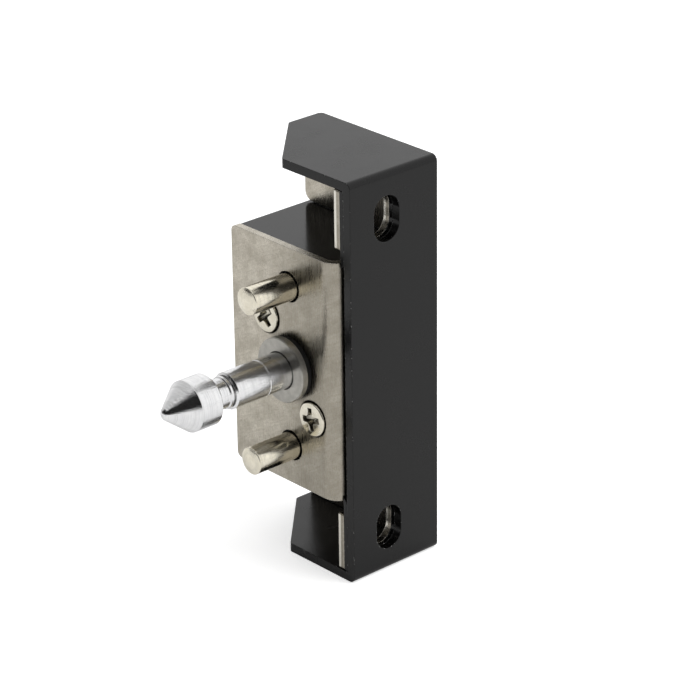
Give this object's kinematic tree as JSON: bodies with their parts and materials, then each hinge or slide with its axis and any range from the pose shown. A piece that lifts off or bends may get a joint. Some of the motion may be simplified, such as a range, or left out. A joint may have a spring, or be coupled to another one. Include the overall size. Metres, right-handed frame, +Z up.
{
  "type": "electronic cabinet lock",
  "caption": "Solenoid cabinet lock: a folded steel box with a pointed spring-loaded bolt and sprung door ejector pins, held in a black slotted bracket.",
  "frame": {"origin": "middle of the two mounting slots on the bracket's outer face", "axes": "+X out of the bracket's outer face, towards the wall it is screwed to; -Y the way the bolt points; +Z up along the bracket's height"},
  "size_m": [0.0353, 0.0599, 0.09],
  "materials": {
    "black_coated_steel": "semi-gloss black coating on 2 mm steel",
    "black_coated_sheet": "semi-gloss black coating on 1 mm steel",
    "nickel_plated_sheet": "tumbled satin nickel plate on 1.6 mm steel",
    "cast_zinc": "zinc die casting, as cast",
    "grey_zinc_steel": "dull grey zinc plate on turned steel",
    "bright_zinc_steel": "bright zinc plate on turned steel",
    "nickel_pin_steel": "nickel plate on turned steel, fine turning marks",
    "nickel_screw_steel": "nickel-plated screw steel",
    "soft_iron": "turned soft iron, plated",
    "zinc_plated_iron": "zinc-plated iron strip",
    "spring_steel": "spring steel, oiled",
    "black_rubber": "matt black rubber",
    "black_nylon": "moulded black nylon",
    "white_nylon": "moulded natural nylon",
    "enamelled_copper": "enamelled copper wire, layer wound",
    "green_laminate": "glass-fibre laminate with green solder mask",
    "black_epoxy": "moulded black epoxy",
    "capacitor_sleeve": "black shrink sleeve with no print",
    "tinned_brass": "tin-plated brass",
    "nickel_magnet": "nickel-plated magnet"
  },
  "bodies": {
    "lock_body": {"mounting_bracket": "black_coated_steel", "chassis_plate": "nickel_plated_sheet", "housing_cover": "black_coated_sheet", "carrier_block": "cast_zinc", "guide_bush": "grey_zinc_steel", "buffer_ring": "black_rubber", "stop_washer": "white_nylon", "solenoid_yoke": "zinc_plated_iron", "coil_bobbin": "black_nylon", "fixed_core": "soft_iron", "coil_winding": "enamelled_copper", "return_spring": "spring_steel", "upper_ejector_spring": "spring_steel", "lower_ejector_spring": "spring_steel", "upper_spring_cup": "black_nylon", "lower_spring_cup": "black_nylon", "upper_plate_screw": "nickel_screw_steel", "lower_plate_screw": "nickel_screw_steel", "upper_board_spacer": "white_nylon", "lower_board_spacer": "white_nylon", "upper_board_screw": "nickel_screw_steel", "lower_board_screw": "nickel_screw_steel", "circuit_board": "green_laminate", "connector_shell": "white_nylon", "connector_pins": "tinned_brass", "smoothing_capacitor": "capacitor_sleeve", "controller_chip": "black_epoxy", "driver_transistor": "black_epoxy", "door_sensor": "black_epoxy"},
    "bolt": {"bolt": "bright_zinc_steel", "plunger": "soft_iron"},
    "upper_ejector": {"upper_ejector_pin": "nickel_pin_steel", "upper_ejector_clip": "spring_steel", "sensor_magnet": "nickel_magnet"},
    "lower_ejector": {"lower_ejector_pin": "nickel_pin_steel", "lower_ejector_clip": "spring_steel"}
  },
  "joints": [
    {"name": "bolt_slide", "type": "slide", "parent": "lock_body", "child": "bolt", "axis": [0, 1, 0], "range_m": [0, 0.005], "stiffness_N_per_m": 300, "springref_m": -0.003, "deforming": ["return_spring"]},
    {"name": "upper_eject_slide", "type": "slide", "parent": "lock_body", "child": "upper_ejector", "axis": [0, 1, 0], "range_m": [0, 0.008], "stiffness_N_per_m": 400, "springref_m": -0.004, "deforming": ["upper_ejector_spring"]},
    {"name": "lower_eject_slide", "type": "slide", "parent": "lock_body", "child": "lower_ejector", "axis": [0, 1, 0], "range_m": [0, 0.008], "stiffness_N_per_m": 400, "springref_m": -0.004, "deforming": ["lower_ejector_spring"]}
  ]
}
